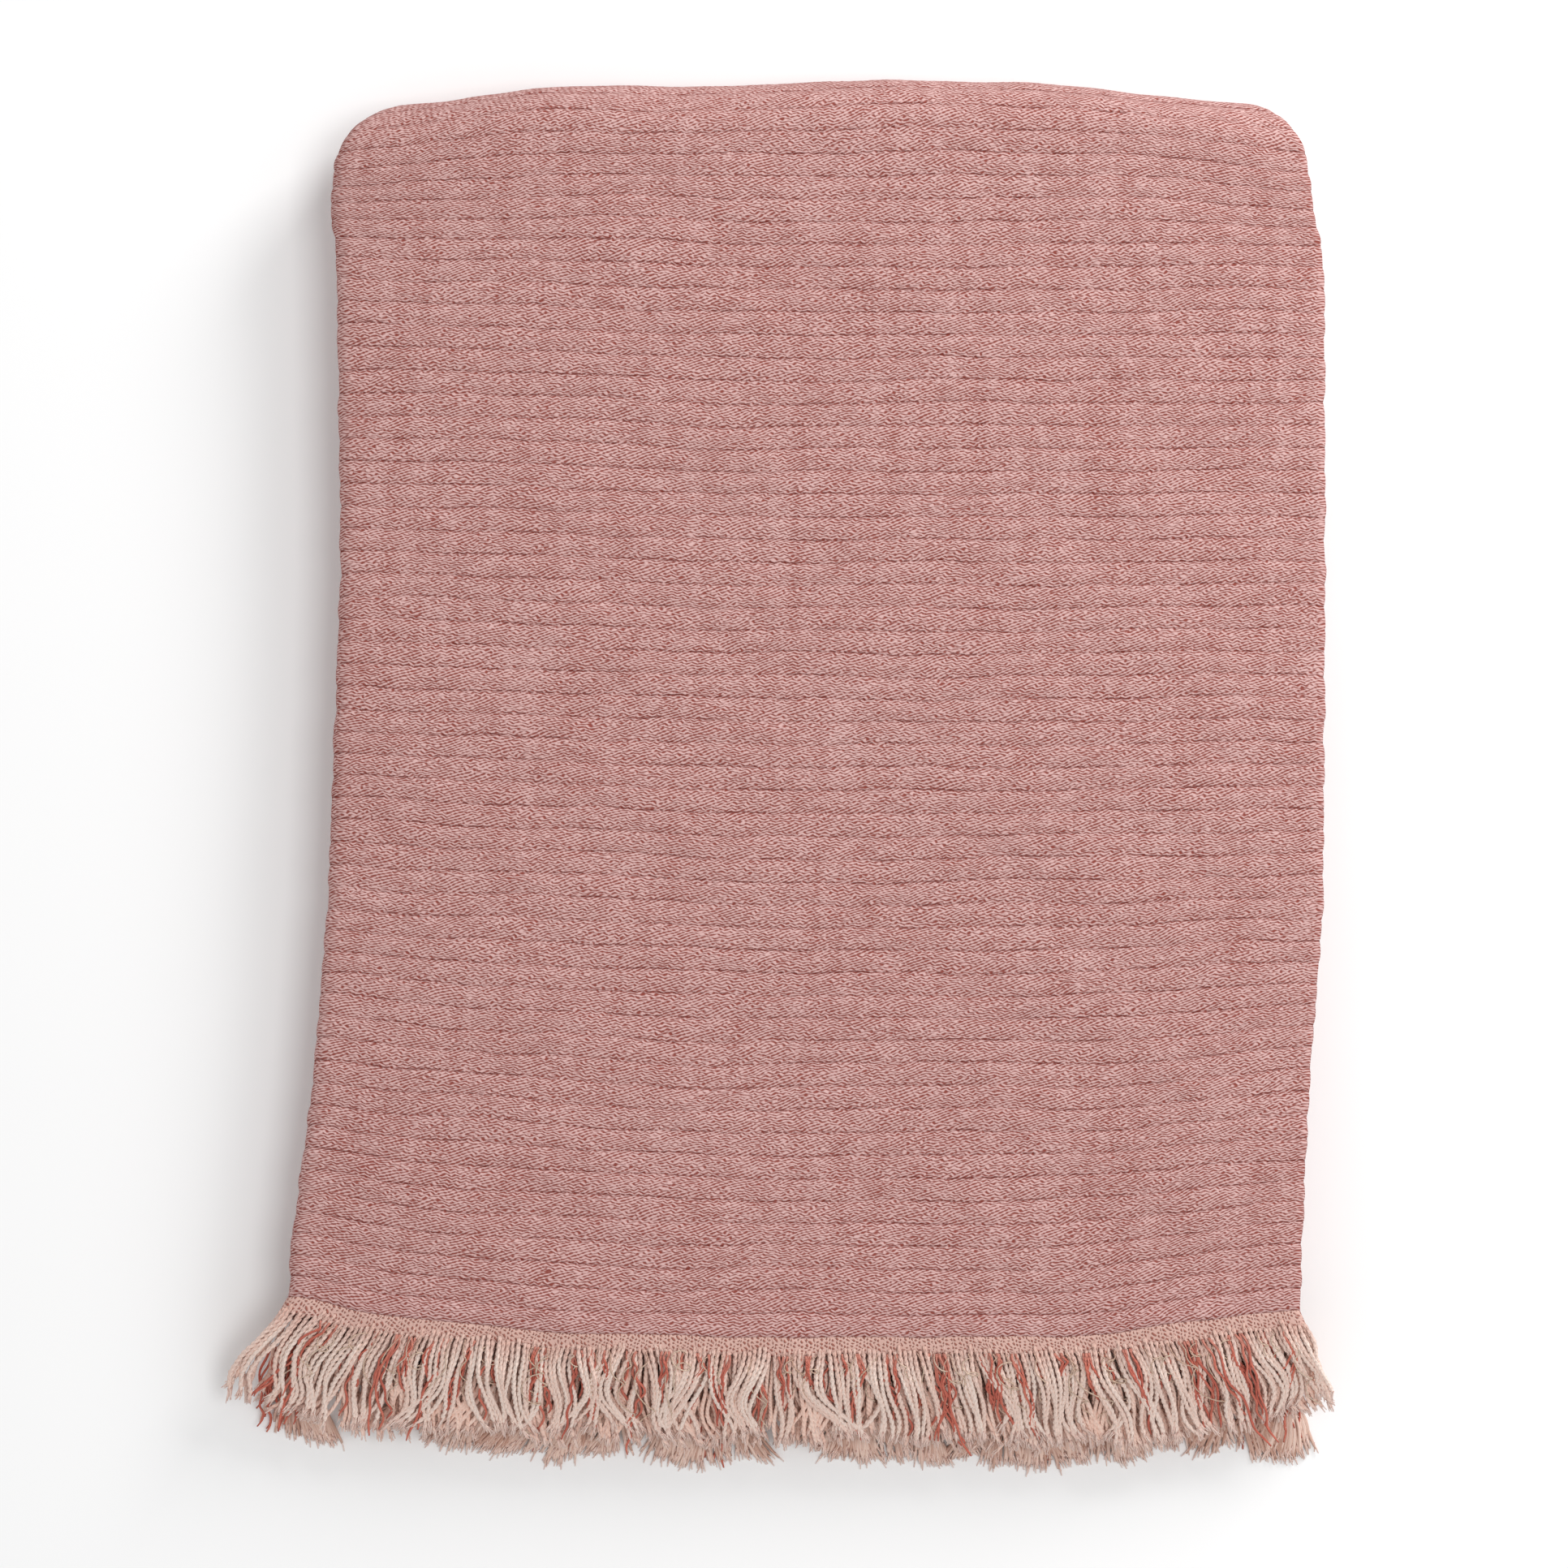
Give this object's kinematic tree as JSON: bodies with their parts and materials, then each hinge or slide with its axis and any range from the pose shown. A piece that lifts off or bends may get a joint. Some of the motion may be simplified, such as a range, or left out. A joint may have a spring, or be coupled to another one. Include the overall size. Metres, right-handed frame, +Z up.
{
  "type": "folded crinkle bedspread",
  "caption": "Crinkled cotton bedspread folded flat into a stack of plies, with a plain-woven heading and a loose yarn fringe at its front.",
  "frame": {"origin": "middle of the whole outline, fringe included, on the surface that the stack lies on", "axes": "+Z up; +Y from the fringed front towards the folded back; +X to the right seen from the front"},
  "size_m": [0.512, 0.646, 0.0506],
  "materials": {
    "crinkle_cotton": "matte crinkled weave",
    "fringe_yarn": "soft plied yarn"
  },
  "bodies": {
    "root": {"cloth": "crinkle_cotton", "outer_fringe": "fringe_yarn", "under_fringe": "fringe_yarn"}
  },
  "joints": []
}
